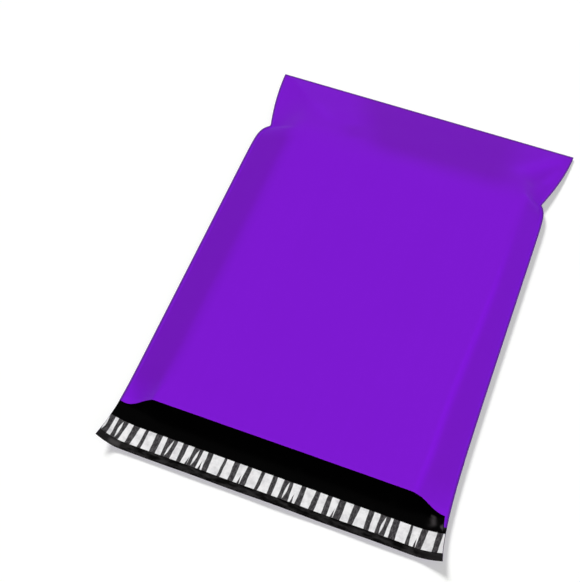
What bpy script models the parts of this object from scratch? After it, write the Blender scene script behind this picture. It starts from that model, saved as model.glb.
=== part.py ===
# Poly mailer bag, holding a flat filling's shape and lying on its back with its mouth open.
# One coextruded film is folded at the far end and welded along both sides.
# A hot melt glue stripe and its peel off liner lie on the sealing lip.
# X runs across the bag, Y from the sealing lip to the far fold, Z up from the table.

import math

import bmesh
import bpy
from mathutils import Vector

# Flat sizes of the empty bag, in metres.
BAG_WIDTH = 0.3683
BAG_LENGTH = 0.4874
LIP_LENGTH = 0.0484
FILM_THICKNESS = 0.0003
WELD_WIDTH = 0.0030
FOLD_WIDTH = 0.0012

# Glue stripe and peel off liner on the lip.
LINER_MARGIN = 0.0083
LINER_WIDTH = 0.0209
LINER_THICKNESS = 0.00015
GLUE_WIDTH = 0.0125
GLUE_THICKNESS = 0.0002
SEAT_GAP = 0.0003

# Shape of the filled pouch.
FILL_HEIGHT = 0.0265
CROWN_HEIGHT = 0.0010
FAR_RUN = 0.1030
EAR_RUN = 0.0900
FLAT_HALF = 0.1400
SEAM_RISE = 0.0070
MOUTH_PULL = 0.0046
MOUTH_BOW = 0.0018
RIDGE_SHARPNESS = 9.0

# Each side by itself, left first: where the weld runs and the upper film climbs from it.
BODY_INSET = (0.0035, 0.0105)
FAR_CLIMB_RUN = (0.0445, 0.0255)
CLIMB_RUN = (0.0400, 0.0328)
MOUTH_CLIMB_RUN = (0.0335, 0.0360)
MOUTH_SAG = (0.60, 0.10)
NOTCH_INSET = (0.0150, 0.0180)
NOTCH_FROM_FOLD = (0.0890, 0.0870)

# Each end of the lip, left first: how it curls up and flares, and how near the weld comes to the liner.
CORNER_CURL = (0.0170, 0.0135)
CURL_START = (0.1600, 0.1540)
FLARE_REACH = (0.0365, 0.0302)
FLARE_POWER = (2.0, 1.0)
WELD_TO_LINER = (0.0192, 0.0072)

# The run of the climb changes between these places, and gives way to the notch by this share.
CLIMB_BEND = (0.1100, 0.3300)
NOTCH_TUCK = 0.80

# How far a local form reaches before it fades out.
NOTCH_FADE = 0.0060
CURL_REACH = 0.0410
MOUTH_REACH = 0.0600
EAR_SAG = 0.35
RIDGE_BAND = 0.0080

# How finely each band of the film is divided.
PLATEAU_STEPS = 5
RIDGE_STEPS = 3
SLOPE_STEPS = 6
FAR_STEPS = 11
BODY_STEPS = 11
NEAR_STEPS = 5
LIP_STEPS = 3
LINER_EDGE_STEPS = 2
GLUE_STEPS = 3

TOTAL_LENGTH = BAG_LENGTH + LIP_LENGTH
HALF_WIDTH = BAG_WIDTH / 2
LEFT, RIGHT = 0, 1

FILM_COLOUR = (0.205, 0.008, 0.631, 1.0)
INSIDE_COLOUR = (0.004, 0.004, 0.004, 1.0)
GLUE_COLOUR = (0.55, 0.50, 0.36, 1.0)
LINER_COLOUR = (0.78, 0.78, 0.80, 1.0)


def clear_scene():
    for thing in list(bpy.data.objects):
        bpy.data.objects.remove(thing)


def ease(value):
    value = min(1.0, max(0.0, value))
    return value * value * (3.0 - 2.0 * value)


def mix(first, second, share):
    return first + (second - first) * share


# Places along the bag are measured from the lip's outer edge.


def from_fold(along):
    return TOTAL_LENGTH - along


def weld_inset(side, along):
    """How far the filling draws the side weld in."""
    distance = max(0.0, from_fold(along))
    notch = NOTCH_FROM_FOLD[side]
    if distance < notch:
        return NOTCH_INSET[side] * (distance / notch) ** 1.6
    pinch = 2.0 ** (-(distance - notch) / NOTCH_FADE)
    return mix(BODY_INSET[side], NOTCH_INSET[side], pinch)


def weld_edge(side, along):
    """Half width at the outer edge of the side weld."""
    flare = 2.0 ** -((max(0.0, along) / FLARE_REACH[side]) ** FLARE_POWER[side])
    return HALF_WIDTH - weld_inset(side, along) * (1.0 - flare)


def weld_line(side, along):
    """Half width at the inner edge of the side weld."""
    return weld_edge(side, along) - WELD_WIDTH


def mouth_share(along):
    """One at the mouth, and nothing further in."""
    return 1.0 - ease((along - LIP_LENGTH) / MOUTH_REACH)


def ear_share(along):
    """One at the far fold, and nothing where the filling begins."""
    return 1.0 - ease(1.5 * from_fold(along) / FAR_RUN - 0.4)


def climb_run(side, along):
    """How far across the upper film climbs from the weld to its full height."""
    start, end = CLIMB_BEND
    run = mix(CLIMB_RUN[side], FAR_CLIMB_RUN[side], ease((along - start) / (end - start)))
    run = mix(run, MOUTH_CLIMB_RUN[side], mouth_share(along))
    # The ridge runs straight past the notch, which bites into the slope alone.
    tuck = max(0.0, weld_inset(side, along) - BODY_INSET[side])
    return mix(run - NOTCH_TUCK * tuck, EAR_RUN, ear_share(along))


def ridge_half(side, along):
    """Half width at the ridge, or at the hip where the far slope cuts it."""
    share = min(1.0, from_fold(along) / FAR_RUN)
    hip = weld_line(side, along) - climb_run(side, along) * share
    return min(hip, weld_line(side, along) - 2.0 * RIDGE_BAND)


def seam_height(side, along):
    """How high the weld stands off the table."""
    rise = SEAM_RISE * ease(from_fold(along) / FAR_RUN)
    curl = max(0.0, 1.0 - along / CURL_REACH) ** 1.3
    return mix(rise, CORNER_CURL[side], curl)


def under_height(across, along):
    """Height of the film's underside."""
    side = RIGHT if across > 0.0 else LEFT
    start = mix(CURL_START[side], FLAT_HALF, ease(along / LIP_LENGTH))
    reach = (abs(across) - start) / (weld_edge(side, along) - start)
    return seam_height(side, along) * max(0.0, reach) ** 2


def lift(across, along):
    """How far the upper film stands above the lower one."""
    side = RIGHT if across > 0.0 else LEFT
    distance = from_fold(along) - FOLD_WIDTH
    margin = weld_line(side, along) - abs(across)
    if margin <= 0.0 or distance <= 0.0:
        return 0.0
    layers = 2.0 * FILM_THICKNESS
    sag = 1.0 + MOUTH_SAG[side] * mouth_share(along) ** 2 + EAR_SAG * ear_share(along)
    climb = margin / climb_run(side, along)
    start = (side * 2 - 1) * weld_line(side, along)
    seam = under_height(start, along)
    slope = (FILL_HEIGHT - layers) * climb**sag
    slope += seam * max(0.0, 1.0 - climb) ** sag - under_height(across, along)
    slope = max(slope, margin * 0.02)
    far = (FILL_HEIGHT - layers) * distance / FAR_RUN
    crown = CROWN_HEIGHT * (1.0 - (across / HALF_WIDTH) ** 2)
    top = FILL_HEIGHT + crown - layers
    total = sum(height**-RIDGE_SHARPNESS for height in (slope, far, top))
    return total ** (-1.0 / RIDGE_SHARPNESS)


def tilt(height, across, along):
    """Unit normal of a height field, facing up."""
    step = 0.0005
    inward = min(abs(across), weld_edge(RIGHT if across > 0 else LEFT, along) - step)
    centre = inward if across > 0.0 else -inward
    slope_x = (height(centre + step, along) - height(centre - step, along)) / (2 * step)
    near = max(along - step, 0.0)
    slope_y = (height(centre, along + step) - height(centre, near)) / (along + step - near)
    return Vector((-slope_x, -slope_y, 1.0)).normalized()


def under_point(across, along, offset=0.0):
    """A point of the lower film, this far above its outer face."""
    place = Vector((across, along - TOTAL_LENGTH / 2, under_height(across, along)))
    return place + tilt(under_height, across, along) * offset


def top_point(across, along, offset=0.0):
    """A point of the upper film, this far above its outer face."""
    place = under_point(across, along, 2.0 * FILM_THICKNESS)
    place.z += lift(across, along)
    upper = tilt(lambda x, y: under_height(x, y) + lift(x, y), across, along)
    return place + upper * offset


# Columns and rows of the film's grid.


def columns():
    """Each column as its side, its band and its share of that band, from left to right."""
    half = [("plateau", step / PLATEAU_STEPS) for step in range(1, PLATEAU_STEPS)]
    half += [("ridge", step / RIDGE_STEPS) for step in range(RIDGE_STEPS)]
    half += [("slope", step / SLOPE_STEPS) for step in range(SLOPE_STEPS)]
    half += [("weld", 0.0), ("weld", 1.0)]
    left = [(LEFT, band, share) for band, share in reversed(half)]
    return left + [(LEFT, "plateau", 0.0)] + [(RIGHT, band, share) for band, share in half]


def across_at(column, along):
    """Where a column crosses the bag."""
    side, band, share = column
    ridge = ridge_half(side, along)
    inner, outer = ridge - RIDGE_BAND, ridge + RIDGE_BAND
    weld = weld_line(side, along)
    if band == "plateau":
        half = inner * share
    elif band == "ridge":
        half = mix(inner, outer, share)
    elif band == "slope":
        half = mix(outer, weld, share)
    else:
        half = mix(weld, weld_edge(side, along), share)
    return half * (side * 2 - 1)


def evenly(start, end, steps):
    return [mix(start, end, step / steps) for step in range(steps)]


def pouch_rows():
    """Distances of the pouch's rows from the far fold, down to the mouth."""
    near = BAG_LENGTH - MOUTH_REACH
    rows = [0.0] + evenly(FOLD_WIDTH, FAR_RUN + RIDGE_BAND, FAR_STEPS)
    rows += evenly(FAR_RUN + RIDGE_BAND, near, BODY_STEPS)
    return rows + evenly(near, BAG_LENGTH, NEAR_STEPS) + [BAG_LENGTH]


def liner_top():
    """Place of the liner's edge nearest the mouth."""
    return LINER_MARGIN + LINER_WIDTH


def glue_top():
    """Place of the glue's edge nearest the mouth: the glue runs along the liner's middle."""
    return liner_top() - (LINER_WIDTH - GLUE_WIDTH) / 2


def lip_rows():
    """Places of the lip's rows, from the mouth to the outer edge, with the liner's and the glue's edges."""
    rows = evenly(LIP_LENGTH, liner_top(), LIP_STEPS)
    rows += evenly(liner_top(), glue_top(), LINER_EDGE_STEPS)
    rows += evenly(glue_top(), glue_top() - GLUE_WIDTH, GLUE_STEPS)
    rows += evenly(glue_top() - GLUE_WIDTH, LINER_MARGIN, LINER_EDGE_STEPS)
    return rows + [LINER_MARGIN, LINER_MARGIN / 2, 0.0]


def mouth_place(column):
    """Where the lower film passes from pouch to lip: the mouth, or the tail of the weld."""
    side, band, share = column
    tail = liner_top() + WELD_TO_LINER[side]
    return min(LIP_LENGTH, tail) if band == "weld" else LIP_LENGTH


def mouth_pull(column):
    """How far the upper film's cut edge lies behind the lower film's mouth line."""
    side, band, share = column
    if band == "weld":
        return 0.0
    if band != "slope":
        return MOUTH_PULL
    return MOUTH_PULL * ease(1.0 - share) - MOUTH_BOW * math.sin(math.pi * share)


def pouch_place(column, distance, pull):
    """Place of a pouch row on a column, moved near the mouth so that the last row meets its edge."""
    fade = ease(1.0 - (BAG_LENGTH - distance) / MOUTH_REACH)
    return from_fold(distance) + (mouth_place(column) - LIP_LENGTH + pull) * fade


def lip_place(column, place):
    """Place of a lip row on a column, squeezed between the liner and the column's end of the pouch."""
    if place <= liner_top():
        return place
    share = (place - liner_top()) / (LIP_LENGTH - liner_top())
    return mix(liner_top(), mouth_place(column), share)


# Solids.


class Sheet:
    """Vertices of one mesh, looked up by layer, column and row."""

    def __init__(self):
        self.mesh = bmesh.new()
        self.known = {}

    def put(self, key, place):
        self.known[key] = self.mesh.verts.new(place)

    def share(self, key, other):
        self.known[key] = self.known[other]

    def face(self, *keys, slot=0):
        corners = []
        for key in keys:
            if self.known[key] not in corners:
                corners.append(self.known[key])
        made = self.mesh.faces.new(corners)
        made.material_index = slot
        made.smooth = True

    def grid(self, layer, first, last, top, bottom, up, slot=0):
        for i in range(first, last):
            for j in range(top, bottom):
                ring = [(layer, i, j), (layer, i, j + 1), (layer, i + 1, j + 1), (layer, i + 1, j)]
                self.face(*(ring if up else ring[::-1]), slot=slot)

    def finish(self, name, materials):
        bmesh.ops.triangulate(self.mesh, faces=self.mesh.faces[:], quad_method="FIXED")
        data = bpy.data.meshes.new(name)
        self.mesh.to_mesh(data)
        self.mesh.free()
        for material in materials:
            data.materials.append(material)
        body = bpy.data.objects.new(name, data)
        bpy.context.scene.collection.objects.link(body)
        return body


def finish_of(name, colour, roughness):
    material = bpy.data.materials.new(name)
    material.use_nodes = True
    shader = material.node_tree.nodes["Principled BSDF"]
    shader.inputs["Base Color"].default_value = colour
    shader.inputs["Roughness"].default_value = roughness
    shader.inputs["Metallic"].default_value = 0.0
    material.diffuse_color = colour
    return material


def make_bag(outside, inside):
    """The whole folded and welded film as one closed body."""
    stations = columns()
    pouch = pouch_rows()
    lip = lip_rows()
    last = len(stations) - 1
    mouth = len(pouch) - 1
    end = mouth + len(lip) - 1
    film = Sheet()

    for i, column in enumerate(stations):
        for j, distance in enumerate(pouch):
            low = pouch_place(column, distance, 0.0)
            high = pouch_place(column, distance, mouth_pull(column))
            low_across, high_across = across_at(column, low), across_at(column, high)
            film.put(("out", i, j), under_point(low_across, low))
            film.put(("top", i, j), top_point(high_across, high))
            within = 0 < i < last and j > 0
            if within or j == mouth:
                film.put(("in", i, j), under_point(low_across, low, FILM_THICKNESS))
            if within and (i in (1, last - 1) or j == 1):
                film.share(("roof", i, j), ("in", i, j))
            elif within:
                film.put(("roof", i, j), top_point(high_across, high, -FILM_THICKNESS))
        for j, place in enumerate(lip[1:], mouth + 1):
            along = lip_place(column, place)
            across = across_at(column, along)
            film.put(("out", i, j), under_point(across, along))
            film.put(("in", i, j), under_point(across, along, FILM_THICKNESS))

    film.grid("top", 0, last, 0, mouth, up=True)
    film.grid("out", 0, last, 0, end, up=False)
    film.grid("in", 1, last - 1, 1, mouth, up=True, slot=1)
    film.grid("roof", 1, last - 1, 1, mouth, up=False, slot=1)
    film.grid("in", 0, last, mouth, end, up=True, slot=1)
    for i in range(last):
        film.face(("top", i, 0), ("top", i + 1, 0), ("out", i + 1, 0), ("out", i, 0))
        film.face(("in", i, end), ("out", i, end), ("out", i + 1, end), ("in", i + 1, end))
    for i in range(1, last - 1):
        film.face(
            ("top", i, mouth),
            ("roof", i, mouth),
            ("roof", i + 1, mouth),
            ("top", i + 1, mouth),
        )
    film.face(("top", 0, mouth), ("in", 0, mouth), ("in", 1, mouth), ("top", 1, mouth))
    film.face(
        ("top", last, mouth),
        ("top", last - 1, mouth),
        ("in", last - 1, mouth),
        ("in", last, mouth),
    )
    for i, turned in ((0, False), (last, True)):
        for j in range(end):
            upper = "top" if j < mouth else "in"
            ring = [(upper, i, j), ("out", i, j), ("out", i, j + 1)]
            if j == mouth - 1:
                ring.append(("in", i, mouth))
            ring.append((upper, i, j + 1))
            film.face(*(ring[::-1] if turned else ring))
    return film.finish("mailer_bag", [outside, inside])


def make_strip(name, material, top, width, inset, low, high):
    """A thin strip over the lip, from this place outwards, following the lip's own grid."""
    stations = columns()[inset : len(columns()) - inset]
    slack = FILM_THICKNESS / 10
    rows = [place for place in lip_rows() if top - width - slack <= place <= top + slack]
    last, end = len(stations) - 1, len(rows) - 1
    strip = Sheet()
    for i, column in enumerate(stations):
        for j, along in enumerate(rows):
            across = across_at(column, along)
            strip.put(("low", i, j), under_point(across, along, low))
            strip.put(("high", i, j), under_point(across, along, high))
    strip.grid("high", 0, last, 0, end, up=True)
    strip.grid("low", 0, last, 0, end, up=False)
    for i in range(last):
        strip.face(("high", i, 0), ("high", i + 1, 0), ("low", i + 1, 0), ("low", i, 0))
        strip.face(("high", i + 1, end), ("high", i, end), ("low", i, end), ("low", i + 1, end))
    for j in range(end):
        strip.face(("high", 0, j + 1), ("high", 0, j), ("low", 0, j), ("low", 0, j + 1))
        strip.face(("high", last, j), ("high", last, j + 1), ("low", last, j + 1), ("low", last, j))
    return strip.finish(name, [material])


def make_all():
    clear_scene()
    outside = finish_of("coloured_film", FILM_COLOUR, 0.45)
    inside = finish_of("black_film", INSIDE_COLOUR, 0.35)
    make_bag(outside, inside)

    glue_base = FILM_THICKNESS + SEAT_GAP
    glue_face = glue_base + GLUE_THICKNESS
    glue = finish_of("hot_melt_glue", GLUE_COLOUR, 0.5)
    make_strip("adhesive_strip", glue, glue_top(), GLUE_WIDTH, 1, glue_base, glue_face)

    liner = finish_of("peel_liner", LINER_COLOUR, 0.35)
    liner_base = glue_face + SEAT_GAP
    liner_face = liner_base + LINER_THICKNESS
    make_strip("release_liner", liner, liner_top(), LINER_WIDTH, 0, liner_base, liner_face)


make_all()
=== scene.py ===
import math

import bmesh
import bpy
import numpy as np
from mathutils import Matrix, Vector


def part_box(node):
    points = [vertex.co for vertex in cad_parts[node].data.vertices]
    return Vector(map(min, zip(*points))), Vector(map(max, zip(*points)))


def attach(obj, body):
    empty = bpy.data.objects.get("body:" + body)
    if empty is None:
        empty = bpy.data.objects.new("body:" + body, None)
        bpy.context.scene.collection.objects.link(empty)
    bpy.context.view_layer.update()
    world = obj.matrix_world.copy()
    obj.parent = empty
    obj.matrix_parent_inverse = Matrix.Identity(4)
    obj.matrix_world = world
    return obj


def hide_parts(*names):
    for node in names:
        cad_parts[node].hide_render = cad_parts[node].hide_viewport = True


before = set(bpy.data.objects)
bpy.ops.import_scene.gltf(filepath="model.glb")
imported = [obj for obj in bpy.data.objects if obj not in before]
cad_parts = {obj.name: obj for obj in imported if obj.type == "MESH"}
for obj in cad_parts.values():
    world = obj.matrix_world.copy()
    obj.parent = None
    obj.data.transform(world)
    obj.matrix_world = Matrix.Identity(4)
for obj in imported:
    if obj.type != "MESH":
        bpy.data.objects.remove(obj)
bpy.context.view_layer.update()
print("frame loaded:", ", ".join(sorted(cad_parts)))

bagLow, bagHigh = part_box("mailer_bag")
halfWidth = (bagHigh.x - bagLow.x) / 2
totalLength = bagHigh.y - bagLow.y


# sums on sockets and one maker for every node

class Wire:
    # a socket that can stand in a sum; each operator adds one Math node
    def __init__(self, paint, socket):
        self.paint = paint
        self.socket = socket

    def maths(self, operation, first, second=0.0):
        return self.paint.node("ShaderNodeMath", {"operation": operation}, {0: first, 1: second})

    def __add__(self, other):
        return self.maths("ADD", self, other)

    def __radd__(self, other):
        return self.maths("ADD", other, self)

    def __sub__(self, other):
        return self.maths("SUBTRACT", self, other)

    def __rsub__(self, other):
        return self.maths("SUBTRACT", other, self)

    def __mul__(self, other):
        return self.maths("MULTIPLY", self, other)

    def __rmul__(self, other):
        return self.maths("MULTIPLY", other, self)

    def __gt__(self, other):
        return self.maths("GREATER_THAN", self, other)

    def __abs__(self):
        return self.maths("ABSOLUTE", self)

    def floor(self):
        return self.maths("FLOOR", self)

    def most(self, other):
        return self.maths("MAXIMUM", self, other)


class Paint:
    # the nodes of one material, or of the world
    def __init__(self, owner):
        owner.use_nodes = True
        self.owner = owner
        self.tree = owner.node_tree
        self.tree.nodes.clear()

    def node(self, kind, settings=None, sockets=None, output=0):
        made = self.tree.nodes.new(kind)
        for name, value in (settings or {}).items():
            setattr(made, name, value)
        for name, value in (sockets or {}).items():
            if isinstance(value, Wire):
                self.tree.links.new(value.socket, made.inputs[name])
            else:
                made.inputs[name].default_value = value
        return Wire(self, made.outputs[output]) if made.outputs else None

    def attribute(self, name):
        return self.node("ShaderNodeAttribute", {"attribute_name": name}, {}, "Fac")

    def flat(self):
        # places on the flat film, in metres
        return self.node("ShaderNodeUVMap", {"uv_map": "filmFlat"}, {}, "UV")

    def part(self, vector, axis):
        return self.node("ShaderNodeSeparateXYZ", {}, {0: vector}, axis)

    def noise(self, place, scale, detail=3.0, roughness=0.5, stretch=None):
        if stretch:
            place = self.node("ShaderNodeVectorMath", {"operation": "MULTIPLY"}, {0: place, 1: stretch})
        sockets = {"Vector": place, "Scale": scale, "Detail": detail, "Roughness": roughness}
        return self.node("ShaderNodeTexNoise", {}, sockets, "Fac")

    def between(self, value, low, high):
        sockets = {"Value": value, "From Min": low, "From Max": high}
        return self.node("ShaderNodeMapRange", {"interpolation_type": "SMOOTHSTEP"}, sockets)

    def blend(self, share, first, second):
        return self.node("ShaderNodeMix", {"data_type": "RGBA"}, {0: share, 6: first, 7: second}, 2)

    def bump(self, height, distance, strength, below=None):
        sockets = {"Height": height, "Distance": distance, "Strength": strength}
        if below:
            sockets["Normal"] = below
        return self.node("ShaderNodeBump", {}, sockets)

    def surface(self, sockets):
        shader = self.node("ShaderNodeBsdfPrincipled", {}, sockets)
        self.node("ShaderNodeOutputMaterial", {}, {"Surface": shader})
        return self.owner


# the film: one sheet from the sealing lip, round the far fold and back to the mouth
# lengths are in metres, and pairs are for the left and the right side

bag = {
    "lip": 0.0484,
    "film": 0.0003,
    "weld": 0.0030,
    "fold": 0.0012,
    "fill": 0.0265,
    "crown": 0.0010,
    "farRun": 0.1030,
    "earRun": 0.0900,
    "earStart": 0.4,
    "earSlope": 1.5,
    "earSag": 0.35,
    "flatHalf": 0.1400,
    "seamRise": 0.0070,
    "mouthPull": 0.0046,
    "mouthBow": 0.0018,
    "mouthReach": 0.0600,
    "mouthSag": (0.60, 0.10),
    "mouthSharpness": 30.0,
    "ridgeSharpness": 9.0,
    "ridgeBand": 0.0080,
    "bodyInset": (0.0035, 0.0105),
    "farClimbRun": (0.0445, 0.0255),
    "climbRun": (0.0400, 0.0328),
    "mouthClimbRun": (0.0335, 0.0360),
    "climbBend": (0.1100, 0.3300),
    "leastSlope": 0.02,
    "leastLift": 0.00002,
    "notchTuck": 0.80,
    "notchInset": (0.0150, 0.0180),
    "notchFromFold": (0.0890, 0.0870),
    "notchPower": 1.6,
    "notchFade": 0.0060,
    "cornerCurl": (0.0170, 0.0135),
    "curlStart": (0.1600, 0.1540),
    "curlReach": 0.0410,
    "curlPower": 1.3,
    "flareReach": (0.0365, 0.0302),
    "flarePower": (2.0, 1.0),
    "weldToLiner": (0.0192, 0.0072),
    # the lip's outer edge curls a little way up, and unevenly
    "edgeCurl": 0.0024,
    "edgeReach": 0.0240,
    "edgeUneven": 0.5,
    "edgeWaves": {"lengths": (0.15, 0.11, 0.07, 0.05), "seed": 4},
    # a tight crease down the right ridge, and waves that keep the film from being quite flat
    "creaseAside": 0.0008,
    "creaseHeight": 0.0005,
    "creaseWidth": 0.0022,
    "creaseFade": 0.02,
    "creaseEnd": 0.40,
    "creaseEndFade": 0.12,
    "waveHeight": 0.00035,
    "waves": {"lengths": (0.16, 0.11, 0.09, 0.06, 0.045), "seed": 7},
    "reliefRoom": 0.006,
    # how finely each band of the film is divided
    "plateauSteps": 18,
    "ridgeSteps": 12,
    "slopeSteps": 20,
    "weldSteps": 3,
    "farSteps": 46,
    "bodySteps": 60,
    "nearSteps": 30,
    "lipSteps": 14,
    "linerSteps": 14,
    "borderSteps": 6,
}
bagLength = totalLength - bag["lip"]

# creases and swells of the upper film: across and along at each end, height and width
topCreases = [
    (0.1400, 0.4904, 0.1790, 0.5314, 0.0012, 0.0060),
    (0.1450, 0.4674, 0.1740, 0.5154, -0.0012, 0.0065),
    (0.1590, 0.4584, 0.1730, 0.5104, 0.0007, 0.0040),
    (-0.1660, 0.5304, -0.1000, 0.4664, 0.0006, 0.0090),
]
# the same for the lip, whose film only ever stands up from the table; the lip's creases are also given a
# painted sheen
lipCreases = [
    (-0.1376, -0.0040, -0.1350, 0.0090, 0.0004, 0.0012),
    (0.1590, 0.0454, 0.1650, 0.0334, 0.0009, 0.0036),
    (0.1735, 0.0394, 0.1765, 0.0334, 0.0006, 0.0020),
]
# painted shade on the far end's creases and patches, or painted light for a share below zero, with a
# share instead of a height
slackPatches = [
    (0.1200, 0.4764, 0.1760, 0.5294, -0.55, 0.0090),
    (0.1440, 0.4664, 0.1740, 0.5174, 0.22, 0.0060),
    (0.1610, 0.4784, 0.1740, 0.5104, -0.35, 0.0045),
    (0.1410, 0.4420, 0.1670, 0.4430, -0.60, 0.0070),
    (-0.1300, 0.5004, -0.1000, 0.4724, -0.20, 0.0080),
    (-0.0760, 0.4784, -0.0640, 0.4524, 0.35, 0.0120),
]
# painted glints on the lip's folds and at its ends, with a strength instead of a height
lipGlints = [
    (0.1590, 0.0456, 0.1650, 0.0448, 0.95, 0.0013),
    (0.1622, 0.0449, 0.1655, 0.0349, 0.55, 0.0030),
    (0.1722, 0.0349, 0.1772, 0.0399, 1.25, 0.0019),
    (-0.1745, 0.0040, -0.1600, 0.0046, 0.80, 0.0034),
    (-0.1376, -0.0040, -0.1350, 0.0090, 0.60, 0.0010),
]


def bySide(name, across):
    left, right = bag[name]
    return np.where(across > 0, right, left)


def ease(value):
    value = np.clip(value, 0, 1)
    return value * value * (3 - 2 * value)


def mix(first, second, share):
    return first + (second - first) * share


def creases(lines, across, along):
    total = np.zeros(np.shape(across))
    for x, y, endX, endY, height, width in lines:
        runX, runY = endX - x, endY - y
        share = ((across - x) * runX + (along - y) * runY) / (runX**2 + runY**2)
        share = np.clip(share, 0, 1)
        away = np.hypot(across - x - share * runX, along - y - share * runY)
        total = total + height * np.exp(-((away / width) ** 2)) * (1 - (2 * share - 1) ** 4)
    return total


def ripples(across, along, lengths, seed):
    # a mean of a few long waves in seeded directions
    draw = np.random.default_rng(seed)
    total = np.zeros(np.shape(across))
    for length in lengths:
        turn, phase = draw.uniform(0, math.tau, 2)
        place = across * math.cos(turn) + along * math.sin(turn)
        total = total + np.sin(place * math.tau / length + phase)
    return total / len(lengths)


def weldInset(across, along):
    distance = np.maximum(0, totalLength - along)
    notch = bySide("notchFromFold", across)
    corner = bySide("notchInset", across)
    pinch = 2.0 ** (-np.maximum(0, distance - notch) / bag["notchFade"])
    return np.where(
        distance < notch,
        corner * (distance / notch) ** bag["notchPower"],
        mix(bySide("bodyInset", across), corner, pinch),
    )


def weldEdge(across, along):
    reach = np.maximum(0, along) / bySide("flareReach", across)
    flare = 2.0 ** -(reach ** bySide("flarePower", across))
    return halfWidth - weldInset(across, along) * (1 - flare)


def weldLine(across, along):
    return weldEdge(across, along) - bag["weld"]


def mouthShare(along):
    return 1 - ease((along - bag["lip"]) / bag["mouthReach"])


def earShare(along):
    return 1 - ease(bag["earSlope"] * (totalLength - along) / bag["farRun"] - bag["earStart"])


def climbBend(along):
    start, end = bag["climbBend"]
    return ease((along - start) / (end - start))


def climbRun(across, along):
    run = mix(bySide("climbRun", across), bySide("farClimbRun", across), climbBend(along))
    run = mix(run, bySide("mouthClimbRun", across), mouthShare(along))
    # the ridge runs straight past the notch, which bites into the slope alone
    tuck = np.maximum(0, weldInset(across, along) - bySide("bodyInset", across))
    return mix(run - bag["notchTuck"] * tuck, bag["earRun"], earShare(along))


def ridgeHalf(across, along):
    share = np.minimum(1, (totalLength - along) / bag["farRun"])
    hip = weldLine(across, along) - climbRun(across, along) * share
    return np.minimum(hip, weldLine(across, along) - 2 * bag["ridgeBand"])


def underHeight(across, along):
    lipShare = ease(along / bag["lip"])
    start = mix(bySide("curlStart", across), bag["flatHalf"], lipShare)
    reach = (abs(across) - start) / (weldEdge(across, along) - start)
    rise = bag["seamRise"] * ease((totalLength - along) / bag["farRun"])
    curl = np.maximum(0, 1 - along / bag["curlReach"]) ** bag["curlPower"]
    seam = mix(rise, bySide("cornerCurl", across), curl)
    height = seam * np.maximum(0, reach) ** 2
    uneven = 1 + bag["edgeUneven"] * ripples(across, along, **bag["edgeWaves"])
    height = height + bag["edgeCurl"] * uneven * np.maximum(0, 1 - along / bag["edgeReach"]) ** 2
    return height + creases(lipCreases, across, along)


def topRelief(across, along):
    # the crease lies on the right side alone
    ridge = np.where(across > 0, across - ridgeHalf(across, along) - bag["creaseAside"], 1)
    run = ease((along - bag["lip"]) / bag["creaseFade"])
    run = run * ease((bag["creaseEnd"] - along) / bag["creaseEndFade"])
    relief = bag["creaseHeight"] * np.exp(-((ridge / bag["creaseWidth"]) ** 2)) * run
    relief = relief + creases(topCreases, across, along)
    return relief + ripples(across, along, **bag["waves"]) * bag["waveHeight"]


def lift(across, along):
    # how far the upper film stands off the lower one: the lowest of slope, far end and top, rounded
    distance = totalLength - along - bag["fold"]
    line = weldLine(across, along)
    margin = line - abs(across)
    inside = (margin > 0) & (distance > 0)
    margin = np.where(inside, margin, bag["film"])
    distance = np.where(inside, distance, bag["film"])
    layers = 2 * bag["film"]
    sag = 1 + bySide("mouthSag", across) * mouthShare(along) ** 2 + bag["earSag"] * earShare(along)
    climb = margin / climbRun(across, along)
    seam = underHeight(np.where(across > 0, line, -line), along)
    slope = (bag["fill"] - layers) * climb**sag
    slope = slope + seam * np.maximum(0, 1 - climb) ** sag - underHeight(across, along)
    slope = np.maximum(slope, margin * bag["leastSlope"])
    far = (bag["fill"] - layers) * distance / bag["farRun"]
    top = bag["fill"] + bag["crown"] * (1 - (across / halfWidth) ** 2) - layers
    sharp = mix(bag["ridgeSharpness"], bag["mouthSharpness"], mouthShare(along) ** 2)
    height = (slope**-sharp + far**-sharp + top**-sharp) ** (-1 / sharp)
    height = height + topRelief(across, along) * ease(height / bag["reliefRoom"])
    return np.where(inside, np.maximum(height, bag["leastLift"]), 0)


def upperHeight(across, along):
    return underHeight(across, along) + lift(across, along)


def shell(height, across, along, base, offset):
    # points this far off a height field, along its normal
    step = 0.0004
    most = weldEdge(across, along) - step
    centre = np.clip(across, -most, most)
    near = np.maximum(along - step, 0)
    slopeX = (height(centre + step, along) - height(centre - step, along)) / (2 * step)
    slopeY = (height(centre, along + step) - height(centre, near)) / (along + step - near)
    normal = np.stack([-slopeX, -slopeY, np.ones_like(slopeX)], -1)
    normal /= np.linalg.norm(normal, axis=-1, keepdims=True)
    place = np.stack([across, along - totalLength / 2, height(across, along)], -1)
    return place + base + normal * offset


def underPoint(across, along, offset=0.0):
    return shell(underHeight, across, along, np.zeros(3), offset)


def topPoint(across, along, offset=0.0):
    return shell(upperHeight, across, along, np.array((0, 0, 2 * bag["film"])), offset)


# columns run across the bag, rows along it

def bagColumns():
    half = [("plateau", step / bag["plateauSteps"]) for step in range(1, bag["plateauSteps"])]
    half += [("ridge", step / bag["ridgeSteps"]) for step in range(bag["ridgeSteps"])]
    half += [("slope", step / bag["slopeSteps"]) for step in range(bag["slopeSteps"])]
    half += [("weld", step / bag["weldSteps"]) for step in range(bag["weldSteps"] + 1)]
    left = [(-1, band, share) for band, share in reversed(half)]
    return left + [(-1, "plateau", 0.0)] + [(1, band, share) for band, share in half]


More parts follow.
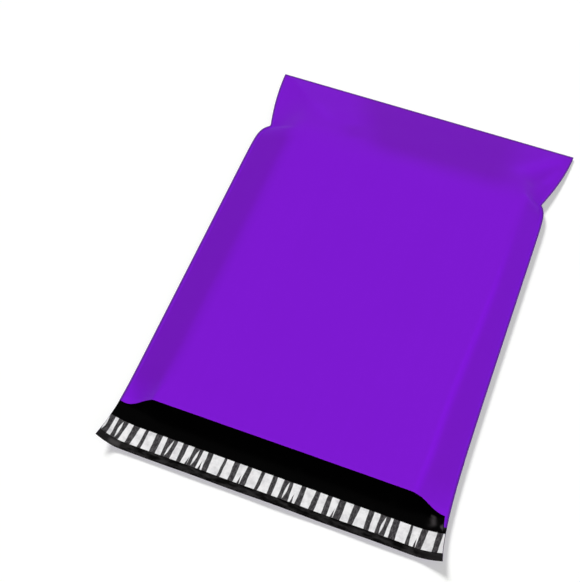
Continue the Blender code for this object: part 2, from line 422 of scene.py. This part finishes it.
def acrossAt(column, along):
    side, band, share = column
    sign = np.full(np.shape(along), float(side))
    ridge = ridgeHalf(sign, along)
    weld = weldLine(sign, along)
    inner, outer = ridge - bag["ridgeBand"], ridge + bag["ridgeBand"]
    if band == "plateau":
        return inner * share * side
    if band == "ridge":
        return mix(inner, outer, share) * side
    if band == "slope":
        return mix(outer, weld, share) * side
    return mix(weld, weldEdge(sign, along), share) * side


def evenly(start, end, steps):
    return [mix(start, end, step / steps) for step in range(steps)]


def pouchRows():
    near = bagLength - bag["mouthReach"]
    bend = bag["farRun"] + bag["ridgeBand"]
    rows = [0.0] + evenly(bag["fold"], bend, bag["farSteps"])
    rows += evenly(bend, near, bag["bodySteps"])
    return np.array(rows + evenly(near, bagLength, bag["nearSteps"]) + [bagLength])


linerLow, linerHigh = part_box("release_liner")
linerBottom = linerLow.y + totalLength / 2
linerTop = linerHigh.y + totalLength / 2


def lipRows():
    rows = evenly(bag["lip"], linerTop, bag["lipSteps"])
    rows += evenly(linerTop, linerBottom, bag["linerSteps"])
    return np.array(rows + evenly(linerBottom, 0.0, bag["borderSteps"]) + [0.0])


def mouthPlace(column):
    side, band, share = column
    tail = linerTop + bag["weldToLiner"][side > 0]
    return min(bag["lip"], tail) if band == "weld" else bag["lip"]


def mouthPull(column):
    side, band, share = column
    if band == "weld":
        return 0.0
    if band != "slope":
        return bag["mouthPull"]
    return bag["mouthPull"] * float(ease(1 - share)) - bag["mouthBow"] * math.sin(math.pi * share)


def pouchPlace(column, distance, pull):
    fade = ease(1 - (bagLength - distance) / bag["mouthReach"])
    return totalLength - distance + (mouthPlace(column) - bag["lip"] + pull) * fade


def lipPlace(column, place):
    share = (place - linerTop) / (bag["lip"] - linerTop)
    return np.where(place <= linerTop, place, mix(linerTop, mouthPlace(column), share))


class Sheet:
    # a mesh whose points are found again by layer, column and row
    sharpAngle = math.radians(45)

    def __init__(self):
        self.places, self.flats, self.known = [], [], {}
        self.faces, self.slots = [], []

    def putRow(self, layer, column, rows, places, flats):
        for row, place, flat in zip(rows, places, flats):
            self.known[layer, column, row] = len(self.places)
            self.places.append(place)
            self.flats.append(flat)

    def face(self, keys, slot=0):
        corners = []
        for key in keys:
            if self.known[key] not in corners:
                corners.append(self.known[key])
        self.faces.append(corners)
        self.slots.append(slot)

    def grid(self, layer, columns, rows, up, slot=0):
        for i in range(*columns):
            for j in range(*rows):
                ring = [(layer, i, j), (layer, i, j + 1), (layer, i + 1, j + 1), (layer, i + 1, j)]
                self.face(ring if up else ring[::-1], slot)

    def finish(self, name, materials, marks=None):
        mesh = bpy.data.meshes.new(name)
        mesh.from_pydata([tuple(place) for place in self.places], [], self.faces)
        for material in materials:
            mesh.materials.append(material)
        mesh.polygons.foreach_set("material_index", self.slots)
        mesh.polygons.foreach_set("use_smooth", [True] * len(self.faces))
        layer = mesh.uv_layers.new(name="filmFlat")
        corners = np.zeros(len(mesh.loops), int)
        mesh.loops.foreach_get("vertex_index", corners)
        layer.uv.foreach_set("vector", np.array(self.flats, np.float32)[corners].ravel())
        for title, values in (marks or {}).items():
            made = mesh.attributes.new(title, "FLOAT", "POINT")
            made.data.foreach_set("value", np.asarray(values, np.float32))
        mesh.set_sharp_from_angle(angle=self.sharpAngle)
        mesh.update()
        piece = bpy.data.objects.new(name, mesh)
        bpy.context.scene.collection.objects.link(piece)
        return piece


# marks that the film's materials read at each point, from nothing to one

# painted shade of the slopes and the far end
slackMark = {
    # painted shade covers the film up to this share of the filling's height, and fades over the next
    # share
    "bodyShadeUpTo": 0.78,
    "bodyFade": 0.20,
    "farShadeUpTo": 0.66,
    "farFade": 0.33,
    # the far end's values begin this far before its climb, and blend in over this length
    "farBefore": 0.012,
    "farBlend": 0.024,
    # how much painted shade each side gets, the right one also far from the mouth, and where that starts
    "left": 0.70,
    "right": 0.30,
    "rightFar": 0.0,
    "mouthGap": 0.004,
    "mouthFade": 0.034,
    # the far end's painted shade is deepest between a slanted line on the left and the right ear
    "pale": 0.25,
    "paleEdge": -0.107,
    "paleSlant": 0.45,
    "paleFade": 0.05,
    "ear": 0.42,
    "earEdge": 0.098,
    "earFade": 0.040,
}
# how far the other marks reach, and how strongly the lip's creases and glints count
filmMark = {
    # where the painted highlight along the right ridge lies and how it fades
    "ridgeAside": 0.0020,
    "ridgeWidth": 0.0032,
    "ridgeBefore": 0.004,
    "ridgeFade": 0.012,
    "ridgeEnd": 0.42,
    "ridgeEndFade": 0.14,
    "weldFade": 0.0004,
    "cutFade": 0.0025,
    "rimShadeWidth": 0.0036,
    "puckerReach": 0.0140,
    "puckerFade": 0.02,
    "borderFade": 0.001,
    "creaseSheen": 700,
    "glintGain": 1.1,
}


def slackShare(across, along):
    # painted shade: the film is darkened where the filling doesn't hold it out, on the slopes, most on
    # the left, and at the far end
    look = slackMark
    far = ease((along - (totalLength - bag["farRun"] - look["farBefore"])) / look["farBlend"])
    held = lift(across, along) / (bag["fill"] - 2 * bag["film"])
    limit = mix(look["bodyShadeUpTo"], look["farShadeUpTo"], far)
    slack = 1 - ease((held - limit) / mix(look["bodyFade"], look["farFade"], far))
    slant = (totalLength - along) * look["paleSlant"]
    farShare = mix(look["pale"], 1.0, ease((across - look["paleEdge"] - slant) / look["paleFade"]))
    farShare = farShare * mix(1.0, look["ear"], ease((across - look["earEdge"]) / look["earFade"]))
    # painted shade and painted light along the far end's creases
    farShare = farShare + creases(slackPatches, across, along)
    right = mix(look["right"], look["rightFar"], climbBend(along))
    sides = np.where(across > 0, right, look["left"])
    nearCorner = ease((along - bag["lip"] - look["mouthGap"]) / look["mouthFade"])
    return np.clip(slack * mix(sides * nearCorner, farShare, far), 0, 1)


def marksAt(layer, across, along):
    look = filmMark
    side = np.where(across > 0, 1.0, -1.0)
    ridge = across - ridgeHalf(np.ones_like(across), along) - look["ridgeAside"]
    run = ease((along - bag["lip"] + look["ridgeBefore"]) / look["ridgeFade"])
    run = run * ease((look["ridgeEnd"] - along) / look["ridgeEndFade"])
    toWeld = abs(across) - weldLine(side, along)
    toCut = np.where(layer == "top", along - bag["lip"] - bag["mouthPull"], 1.0)
    toRim = np.minimum(weldEdge(side, along) - abs(across), totalLength - along)
    pucker = 1 - ease(abs(toWeld) / look["puckerReach"])
    # the border beyond the liner, and a painted sheen along the lip's creases
    borderAndSheen = 1 - ease((along - linerBottom) / look["borderFade"])
    borderAndSheen = borderAndSheen + creases(lipCreases, across, along) * look["creaseSheen"]
    glint = ease(creases(lipGlints, across, along) * look["glintGain"])
    return {
        # a painted highlight along the right ridge
        "ridgeHighlightShare": np.exp(-((ridge / look["ridgeWidth"]) ** 2)) * run * (layer == "top"),
        "weldBand": ease(toWeld / look["weldFade"] + 1),
        # a painted highlight along the mouth's cut edge
        "cutEdge": 1 - ease(toCut / look["cutFade"]),
        # painted shade along the rims and the far fold
        "rimShade": 1 - ease(toRim / look["rimShadeWidth"]),
        "pucker": pucker * ease((along - bag["lip"]) / look["puckerFade"]),
        # painted shade
        "slack": slackShare(across, along) * (layer == "top"),
        # the paler border and the painted sheen on the lip's creases
        "lipBorderAndSheen": np.minimum(borderAndSheen, 1) * (layer == "in"),
        # painted glints
        "glint": glint * (layer == "in"),
    }


def filmFaces(film, last, mouth, end):
    # inside the fold and along the welds both films are one
    first, final = bag["weldSteps"], last - bag["weldSteps"]
    for i in range(1, last):
        for j in range(1, mouth + 1):
            if i <= first or i >= final or j == 1:
                film.known["roof", i, j] = film.known["in", i, j]

    film.grid("top", (0, last), (0, mouth), True)
    film.grid("out", (0, last), (0, end), False)
    film.grid("in", (first, final), (1, mouth), True, 1)
    film.grid("roof", (first, final), (1, mouth), False, 1)
    film.grid("in", (0, last), (mouth, end), True, 1)
    for i in range(last):
        film.face([("top", i, 0), ("top", i + 1, 0), ("out", i + 1, 0), ("out", i, 0)])
        film.face([("in", i, end), ("out", i, end), ("out", i + 1, end), ("in", i + 1, end)], 1)
    for i in range(last):
        layer = "roof" if first <= i < final else "in"
        film.face([("top", i, mouth), (layer, i, mouth), (layer, i + 1, mouth), ("top", i + 1, mouth)])
    for i, turned in ((0, False), (last, True)):
        for j in range(end):
            upper = "top" if j < mouth else "in"
            ring = [(upper, i, j), ("out", i, j), ("out", i, j + 1)]
            if j == mouth - 1:
                ring.append(("in", i, mouth))
            ring.append((upper, i, j + 1))
            film.face(ring[::-1] if turned else ring)


def makeFilm(materials):
    stations, pouch, lip = bagColumns(), pouchRows(), lipRows()
    last, mouth = len(stations) - 1, len(pouch) - 1
    end = mouth + len(lip) - 1
    film = Sheet()
    marks = {}

    def put(layer, i, rows, across, along, places):
        # the flat places go on round the far fold, so no pattern is mirrored
        flatAlong = 2 * totalLength - along if layer in ("top", "roof") else along
        film.putRow(layer, i, rows, places, np.stack([across, flatAlong], -1))
        for name, values in marksAt(layer, across, along).items():
            marks.setdefault(name, []).extend(values)

    for i, column in enumerate(stations):
        low = pouchPlace(column, pouch, 0.0)
        high = pouchPlace(column, pouch, mouthPull(column))
        lowAcross, highAcross = acrossAt(column, low), acrossAt(column, high)
        rows = list(range(mouth + 1))
        put("out", i, rows, lowAcross, low, underPoint(lowAcross, low))
        put("top", i, rows, highAcross, high, topPoint(highAcross, high))
        inner = rows[1:] if 0 < i < last else rows[mouth:]
        keep = slice(inner[0], None)
        places = underPoint(lowAcross[keep], low[keep], bag["film"])
        put("in", i, inner, lowAcross[keep], low[keep], places)
        if 0 < i < last:
            places = topPoint(highAcross[keep], high[keep], -bag["film"])
            put("roof", i, inner, highAcross[keep], high[keep], places)
        along = lipPlace(column, lip[1:])
        across = acrossAt(column, along)
        rows = list(range(mouth + 1, end + 1))
        put("out", i, rows, across, along, underPoint(across, along))
        put("in", i, rows, across, along, underPoint(across, along, bag["film"]))
    filmFaces(film, last, mouth, end)
    return film.finish("mailerBagFilm", materials, marks)


def cleanLoose(piece):
    # points that no face uses are dropped
    work = bmesh.new()
    work.from_mesh(piece.data)
    loose = [vert for vert in work.verts if not vert.link_faces]
    bmesh.ops.delete(work, geom=loose, context="VERTS")
    work.to_mesh(piece.data)
    work.free()


# finishes of the film: colours, shares of the marks, and patterns on the flat film

filmSkin = {
    "wrinkles": {"scale": 17.0, "detail": 1.5, "stretch": (1.0, 0.45, 1.0)},
    "wrinkleBump": {"distance": 0.0006, "strength": 0.25},
    "puckers": {"scale": 210.0, "detail": 2.0, "stretch": (0.16, 1.0, 1.0)},
    "puckerBump": {"distance": 0.0005, "strength": 0.5},
    "streaks": {"scale": 420.0, "detail": 2.0, "stretch": (1.0, 0.03, 1.0)},
    "grain": {"scale": 900.0, "detail": 2.0},
    "streakShare": 0.6,
    "fineBump": {"distance": 0.00005, "strength": 0.35},
}
filmLook = {
    "colour": (0.206, 0.0100, 0.650, 1),
    "deeper": (0.195, 0.0094, 0.618, 1),
    # the painted shade of the slopes and the far end
    "slack": (0.167, 0.0090, 0.485, 1),
    # a painted highlight along the right ridge
    "ridgeHighlight": (0.222, 0.0088, 0.725, 1),
    "welded": (0.206, 0.0096, 0.655, 1),
    # a painted highlight along the mouth's cut edge
    "cut": (0.225, 0.0100, 0.700, 1),
    # painted shade along the rims and the far fold
    "rimShade": (0.110, 0.0180, 0.240, 1),
    "weldShare": 0.8,
    "cutShare": 0.6,
    "shine": 0.045,
    "gloss": (0.38, 0.45),
    "weldGloss": 0.08,
    "clouds": {"scale": 13.0},
    "streaks": {"scale": 160.0, "stretch": (1.0, 0.02, 1.0)},
    "streakShare": 0.5,
    "scuffs": {"scale": 60.0, "detail": 4.0, "roughness": 0.6},
    "scuffRange": (0.42, 0.68),
    "sealDots": 900.0,
    "sealBump": {"distance": 0.00012, "strength": 0.6},
}
insideLook = {
    "colour": (0.0006, 0.0006, 0.0006, 1),
    "scuffed": (0.0014, 0.0014, 0.0013, 1),
    "border": (0.0018, 0.0017, 0.0017, 1),
    "borderPale": (0.0270, 0.0255, 0.0262, 1),
    # the colour of the painted glints
    "glint": (0.0620, 0.0570, 0.0590, 1),
    "shine": 0.014,
    "gloss": (0.22, 0.36),
    "scuffs": {"scale": 70.0, "detail": 5.0, "roughness": 0.65},
    "scuffRange": (0.52, 0.80),
    "palePatches": {"scale": 55.0, "detail": 4.0, "roughness": 0.6, "stretch": (1.0, 3.0, 1.0)},
    "palePatchRange": (0.40, 0.68),
    "endRange": (0.150, 0.182),
    "endPaleness": 0.6,
}


def filmRelief(paint, flat):
    # soft handling wrinkles, puckers along the welds, streaks from the blown film and a fine grain
    look = filmSkin
    wrinkles = paint.noise(flat, **look["wrinkles"])
    puckers = paint.noise(flat, **look["puckers"]) * paint.attribute("pucker")
    streaks = paint.noise(flat, **look["streaks"])
    grain = paint.noise(flat, **look["grain"])
    fine = streaks * look["streakShare"] + grain * (1 - look["streakShare"])
    swell = paint.bump(wrinkles, **look["wrinkleBump"])
    swell = paint.bump(puckers, below=swell, **look["puckerBump"])
    return paint.bump(fine, below=swell, **look["fineBump"])


def outsideFilm():
    paint = Paint(bpy.data.materials.new("colouredFilm"))
    flat = paint.flat()
    look = filmLook
    clouds = paint.noise(flat, **look["clouds"])
    streaks = paint.noise(flat, **look["streaks"])
    weld = paint.attribute("weldBand")
    cloudy = clouds * (1 - look["streakShare"]) + streaks * look["streakShare"]
    colour = paint.blend(cloudy, look["deeper"], look["colour"])
    # painted shade on the slopes and the far end
    colour = paint.blend(paint.attribute("slack"), colour, look["slack"])
    colour = paint.blend(weld * look["weldShare"], colour, look["welded"])
    # a painted highlight along the right ridge
    colour = paint.blend(paint.attribute("ridgeHighlightShare"), colour, look["ridgeHighlight"])
    # a painted highlight along the mouth's cut edge
    colour = paint.blend(paint.attribute("cutEdge") * look["cutShare"], colour, look["cut"])
    # painted shade along the rims and the far fold
    colour = paint.blend(paint.attribute("rimShade"), colour, look["rimShade"])
    low, high = look["gloss"]
    scuffs = paint.between(paint.noise(flat, **look["scuffs"]), *look["scuffRange"])
    dots = paint.node("ShaderNodeTexVoronoi", {}, {"Vector": flat, "Scale": look["sealDots"]}, "Distance")
    return paint.surface({
        "Base Color": colour,
        "Roughness": low + scuffs * (high - low) - weld * look["weldGloss"],
        "Specular IOR Level": look["shine"],
        "Normal": paint.bump(dots * weld, below=filmRelief(paint, flat), **look["sealBump"]),
    })


def insideFilm():
    paint = Paint(bpy.data.materials.new("blackFilm"))
    flat = paint.flat()
    look = insideLook
    scuffs = paint.between(paint.noise(flat, **look["scuffs"]), *look["scuffRange"])
    colour = paint.blend(scuffs, look["colour"], look["scuffed"])
    # the border beyond the liner is paler in patches, and palest towards its ends
    palePatches = paint.between(paint.noise(flat, **look["palePatches"]), *look["palePatchRange"])
    ends = paint.between(abs(paint.part(flat, "X")), *look["endRange"])
    paler = palePatches.most(palePatches * (1 - look["endPaleness"]) + ends * look["endPaleness"])
    border = paint.blend(paler, look["border"], look["borderPale"])
    # the paler border, and a painted sheen along the lip's creases
    colour = paint.blend(paint.attribute("lipBorderAndSheen"), colour, border)
    # painted glints on the lip's folds and ends
    colour = paint.blend(paint.attribute("glint"), colour, look["glint"])
    low, high = look["gloss"]
    return paint.surface({
        "Base Color": colour,
        "Roughness": low + scuffs * (high - low),
        "Specular IOR Level": look["shine"],
        "Normal": filmRelief(paint, flat),
    })


film = makeFilm([outsideFilm(), insideFilm()])
cleanLoose(film)
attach(film, "root")
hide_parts("mailer_bag")
print("film made:", len(film.data.polygons), "faces")


# the peel strip and the glue under it

linerStrip = {
    "base": 0.0011,
    "thickness": 0.00015,
    "steps": 12,
    "inset": 0,
    "waveHeight": 0.00012,
    "waves": {"lengths": (0.05, 0.03, 0.02, 0.013), "seed": 11},
    "white": (0.860, 0.855, 0.862, 1),
    "whiteShade": (0.640, 0.632, 0.646, 1),
    "ink": (0.018, 0.016, 0.018, 1),
    "inkWorn": (0.088, 0.083, 0.087, 1),
    "shine": 0.20,
    "gloss": 0.34,
    "cloudGloss": 0.14,
    "inkGloss": 0.06,
    "clouds": {"scale": 120.0, "detail": 4.0, "roughness": 0.6},
    "cloudRange": (0.35, 0.75),
    "wear": {"scale": 520.0, "detail": 3.0, "roughness": 0.7, "stretch": (1.0, 0.4, 1.0)},
    "wearRange": (0.40, 0.66),
    "crinkles": {"scale": 220.0, "detail": 3.0, "stretch": (1.0, 0.5, 1.0)},
    "crinkleBump": {"distance": 0.0003, "strength": 0.5},
}
# the printed bars: their period in metres, and the rest in shares of it or of the strip's half width
# a value with three numbers is drawn for each bar: an offset that sets the draw, and its two limits
linerBars = {
    "period": 0.0143,
    "shift": 40.37,
    "slant": -0.03,
    "edge": 0.016,
    "wobble": {"scale": 95.0, "detail": 2.0},
    "wobbleShare": 0.09,
    "middle": (0.3, 0.44, 0.62),
    "lean": (1.7, -0.06, 0.05),
    "half": (0.6, 0.175, 0.25),
    "taper": (5.2, -0.03, 0.04),
    "wide": (9.1, 0, 1),
    "wideOver": 0.80,
    "widenBy": 0.16,
    "thin": (7.4, 0, 1),
    "thinOver": 0.84,
    "thinBy": 0.45,
    "leafHalf": 0.085,
    "leafTaper": 0.100,
    "leafLean": (2.6, -0.11, 0.05),
    "dent": (8.8, 0, 1),
    "dentOver": 0.82,
    "dentTop": -0.05,
    "dentSlope": 0.090,
    "dentPlace": 0.115,
}
glueStrip = {
    "base": 0.0006,
    "thickness": 0.0002,
    "steps": 6,
    "inset": bag["weldSteps"],
    "amber": (0.55, 0.50, 0.36, 1),
    "pale": (0.70, 0.66, 0.52, 1),
    "gloss": 0.30,
    "beadGloss": 0.25,
    "beads": {"scale": 700.0, "detail": 3.0, "stretch": (0.25, 1.0, 1.0)},
    "beadBump": {"distance": 0.0002, "strength": 0.6},
}


def makeStrip(name, material, look, start, end):
    # a thin closed band over the lip, its base measured from the film's underside
    stations = bagColumns()
    stations = stations[look["inset"] : len(stations) - look["inset"]]
    steps = look["steps"]
    places = np.array(evenly(start, end, steps) + [end])
    rows = list(range(steps + 1))
    last = len(stations) - 1
    strip = Sheet()
    for i, column in enumerate(stations):
        across = acrossAt(column, places)
        wave = np.zeros(len(places))
        if "waves" in look:
            wave = look["waveHeight"] * (1 + ripples(across, places, **look["waves"]))
        flats = np.stack([across, places], -1)
        for layer, height in (("low", look["base"]), ("high", look["base"] + look["thickness"])):
            strip.putRow(layer, i, rows, underPoint(across, places, height + wave[:, None]), flats)
    strip.grid("high", (0, last), (0, steps), True)
    strip.grid("low", (0, last), (0, steps), False)
    for i in range(last):
        strip.face([("high", i, 0), ("high", i + 1, 0), ("low", i + 1, 0), ("low", i, 0)])
        ring = [("high", i + 1, steps), ("high", i, steps), ("low", i, steps), ("low", i + 1, steps)]
        strip.face(ring)
    for j in range(steps):
        strip.face([("high", 0, j + 1), ("high", 0, j), ("low", 0, j), ("low", 0, j + 1)])
        ring = [("high", last, j), ("high", last, j + 1), ("low", last, j + 1), ("low", last, j)]
        strip.face(ring)
    return strip.finish(name, [material])


def barInk(paint, flat):
    # uneven dark bars across the strip, the widest with a pale leaf and some pale fields notched
    bars = linerBars
    middleLine = (linerTop + linerBottom) / 2
    up = (paint.part(flat, "Y") - middleLine) * (2 / (linerTop - linerBottom))
    wobble = (paint.noise(flat, **bars["wobble"]) - 0.5) * bars["wobbleShare"]
    place = paint.part(flat, "X") * (1 / bars["period"]) + up * bars["slant"] + wobble + bars["shift"]
    cell = place.floor()
    share = place - cell

    def draw(offset, low, high):
        # one seeded number for each bar
        sockets = {"W": cell + offset}
        drawn = paint.node("ShaderNodeTexWhiteNoise", {"noise_dimensions": "1D"}, sockets, "Value")
        return drawn * (high - low) + low

    def edge(value):
        return paint.between(value, -bars["edge"], bars["edge"])

    # each bar leans and tapers by itself, and some are wide or thin
    wide = draw(*bars["wide"]) > bars["wideOver"]
    thin = (draw(*bars["thin"]) > bars["thinOver"]) * (1 - wide)
    halfBar = (draw(*bars["half"]) + wide * bars["widenBy"]) * (1 - thin * bars["thinBy"])
    halfBar = halfBar + up * draw(*bars["taper"])
    away = share - (draw(*bars["middle"]) + up * draw(*bars["lean"]))
    bar = edge(halfBar - abs(away))
    # the wide bars hold a pale leaf, and some pale fields are notched from below
    leafAway = abs(away + up * draw(*bars["leafLean"]))
    leaf = edge(bars["leafHalf"] - up * up * bars["leafTaper"] - leafAway) * wide
    dent = edge((bars["dentTop"] - up) * bars["dentSlope"] - abs(share - bars["dentPlace"]))
    dent = dent * (draw(*bars["dent"]) > bars["dentOver"])
    return (bar * (1 - leaf)).most(dent)


def printedLiner():
    paint = Paint(bpy.data.materials.new("printedLiner"))
    flat = paint.flat()
    look = linerStrip
    ink = barInk(paint, flat)
    clouds = paint.noise(flat, **look["clouds"])
    wear = paint.between(paint.noise(flat, **look["wear"]), *look["wearRange"])
    white = paint.blend(paint.between(clouds, *look["cloudRange"]), look["white"], look["whiteShade"])
    black = paint.blend(wear, look["ink"], look["inkWorn"])
    return paint.surface({
        "Base Color": paint.blend(ink, white, black),
        "Roughness": look["gloss"] + clouds * look["cloudGloss"] + ink * look["inkGloss"],
        "Specular IOR Level": look["shine"],
        "Normal": paint.bump(paint.noise(flat, **look["crinkles"]), **look["crinkleBump"]),
    })


def stickyGlue():
    paint = Paint(bpy.data.materials.new("hotMeltGlue"))
    look = glueStrip
    beads = paint.noise(paint.flat(), **look["beads"])
    return paint.surface({
        "Base Color": paint.blend(beads, look["amber"], look["pale"]),
        "Roughness": look["gloss"] + beads * look["beadGloss"],
        "Normal": paint.bump(beads, **look["beadBump"]),
    })


liner = makeStrip("releaseLiner", printedLiner(), linerStrip, linerTop, linerBottom)
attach(liner, "root")
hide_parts("release_liner")

glueLow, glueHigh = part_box("adhesive_strip")
glueTop, glueBottom = glueHigh.y + totalLength / 2, glueLow.y + totalLength / 2
glue = makeStrip("adhesiveStrip", stickyGlue(), glueStrip, glueTop, glueBottom)
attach(glue, "root")
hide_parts("adhesive_strip")
print("liner and glue made")


# floor, light and camera

studio = {
    "floorDrop": 0.0030,
    "floorHalf": 12.0,
    "floorShade": (0.900, 0.906, 0.888, 1),
    "floorGlow": 0.12,
    "skyLight": 0.12,
    "white": (1, 1, 1, 1),
    # each lamp's share of the light that falls on the floor; angles in degrees
    "lamps": {
        "keySun": {"azimuth": -130, "elevation": 52, "share": 0.51, "spread": 16, "main": True},
        "fillSun": {"azimuth": 60, "elevation": 40, "share": 0.37, "spread": 50, "main": False},
    },
}
shot = {
    "place": (0.179126, -0.663998, 1.110688),
    "azimuth": 20.971,
    "elevation": 58.449,
    "lens": 72.63,
    "sensor": 36,
    "nearest": 0.01,
}


def backdropShare(paint):
    # one for rays from the camera and for rays that a shiny or clear surface sends on
    rays = [
        paint.node("ShaderNodeLightPath", {}, {}, name)
        for name in ("Is Camera Ray", "Is Glossy Ray", "Is Transmission Ray")
    ]
    return rays[0].most(rays[1]).most(rays[2])


def paleFloor():
    paint = Paint(bpy.data.materials.new("paleFloor"))
    matte = paint.node("ShaderNodeBsdfDiffuse", {}, {"Color": studio["floorShade"]})
    strength = backdropShare(paint) * studio["floorGlow"]
    glow = paint.node("ShaderNodeEmission", {}, {"Color": studio["white"], "Strength": strength})
    both = paint.node("ShaderNodeAddShader", {}, {0: matte, 1: glow})
    paint.node("ShaderNodeOutputMaterial", {}, {"Surface": both})
    return paint.owner


def makeFloor():
    half = studio["floorHalf"]
    mesh = bpy.data.meshes.new("floor")
    corners = [(-half, -half, 0), (half, -half, 0), (half, half, 0), (-half, half, 0)]
    mesh.from_pydata(corners, [], [(0, 1, 2, 3)])
    mesh.materials.append(paleFloor())
    made = bpy.data.objects.new("floor", mesh)
    made.location.z = -studio["floorDrop"]
    # the floor throws no light back at the film
    made.visible_diffuse = False
    bpy.context.scene.collection.objects.link(made)
    return made


def aimed(azimuth, elevation):
    turn, rise = math.radians(azimuth), math.radians(elevation)
    level = math.cos(rise)
    return Vector((math.sin(turn) * level, -math.cos(turn) * level, math.sin(rise)))


def makeLamp(name, lamp):
    light = bpy.data.lights.new(name, "SUN")
    light.energy = lamp["share"] * math.pi / math.sin(math.radians(lamp["elevation"]))
    light.angle = math.radians(lamp["spread"])
    sun = bpy.data.objects.new(name, light)
    sun.rotation_euler = aimed(lamp["azimuth"], lamp["elevation"]).to_track_quat("Z", "Y").to_euler()
    # the main lamp alone throws shadows, and the other alone is mirrored
    light.use_shadow = lamp["main"]
    sun.visible_glossy = not lamp["main"]
    bpy.context.scene.collection.objects.link(sun)


def makeSky():
    sky = Paint(bpy.data.worlds.new("studio"))
    strength = studio["skyLight"] + backdropShare(sky) * (1 - studio["skyLight"])
    light = sky.node("ShaderNodeBackground", {}, {"Color": studio["white"], "Strength": strength})
    sky.node("ShaderNodeOutputWorld", {}, {"Surface": light})
    return sky.owner


def makeCamera():
    lens = bpy.data.cameras.new("photoCamera")
    lens.sensor_width = shot["sensor"]
    lens.lens = shot["lens"]
    lens.clip_start = shot["nearest"]
    made = bpy.data.objects.new("photoCamera", lens)
    turn = math.radians(shot["azimuth"])
    toCamera = aimed(shot["azimuth"], shot["elevation"])
    rightward = Vector((math.cos(turn), math.sin(turn), 0))
    turned = Matrix((rightward, toCamera.cross(rightward), toCamera)).transposed()
    made.matrix_world = Matrix.Translation(shot["place"]) @ turned.to_4x4()
    bpy.context.scene.collection.objects.link(made)
    return made


floor = makeFloor()
for name, lamp in studio["lamps"].items():
    makeLamp(name, lamp)
bpy.context.scene.world = makeSky()
bpy.context.scene.camera = makeCamera()
bpy.context.scene.view_settings.view_transform = "Standard"
print("floor, light and camera set")
